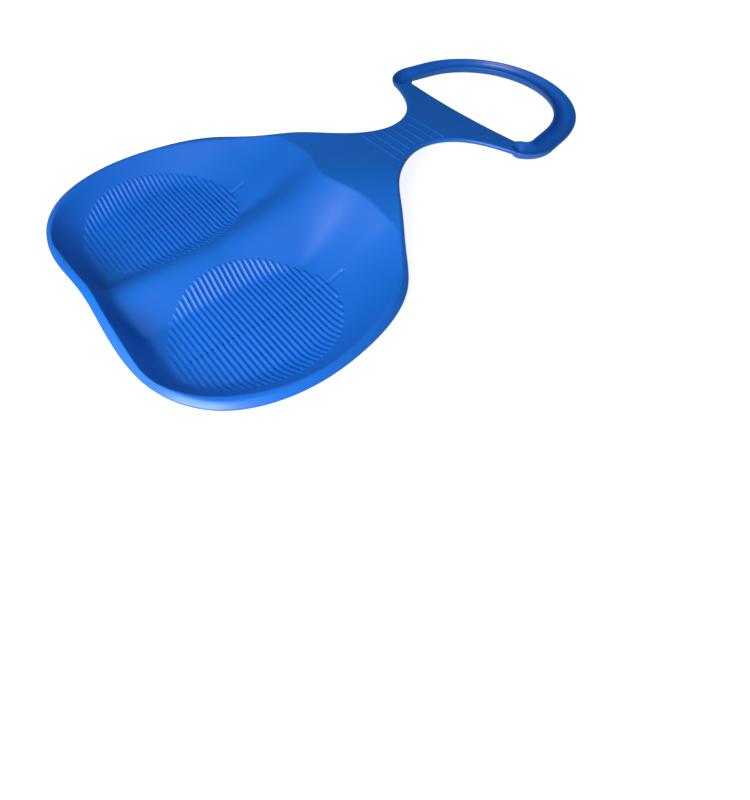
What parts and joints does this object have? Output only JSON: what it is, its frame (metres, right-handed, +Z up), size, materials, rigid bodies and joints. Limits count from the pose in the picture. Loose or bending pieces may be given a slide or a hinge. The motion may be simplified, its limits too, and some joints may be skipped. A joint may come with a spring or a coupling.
{
  "type": "snow sled board",
  "caption": "Moulded one-person snow sled with two ribbed seat hollows, a rolled rim, keels underneath and a narrow neck to a channel-shaped D hand grip.",
  "frame": {"origin": "on the ground under the middle of the whole board", "axes": "+Y towards the hand grip, +Z up; the two keels stand on Z = 0"},
  "size_m": [0.299, 0.4894, 0.0496],
  "materials": {
    "polyethylene": "semi-gloss injection-moulded polyethylene"
  },
  "bodies": {
    "root": {"left_hollow": "polyethylene", "right_hollow": "polyethylene", "seat_ridge": "polyethylene", "seat_rim": "polyethylene", "left_keel": "polyethylene", "right_keel": "polyethylene", "left_seat_ribs": "polyethylene", "right_seat_ribs": "polyethylene", "neck_root": "polyethylene", "neck_plate": "polyethylene", "neck_edges": "polyethylene", "neck_lines": "polyethylene", "opening_lip": "polyethylene", "hand_grip": "polyethylene"}
  },
  "joints": []
}
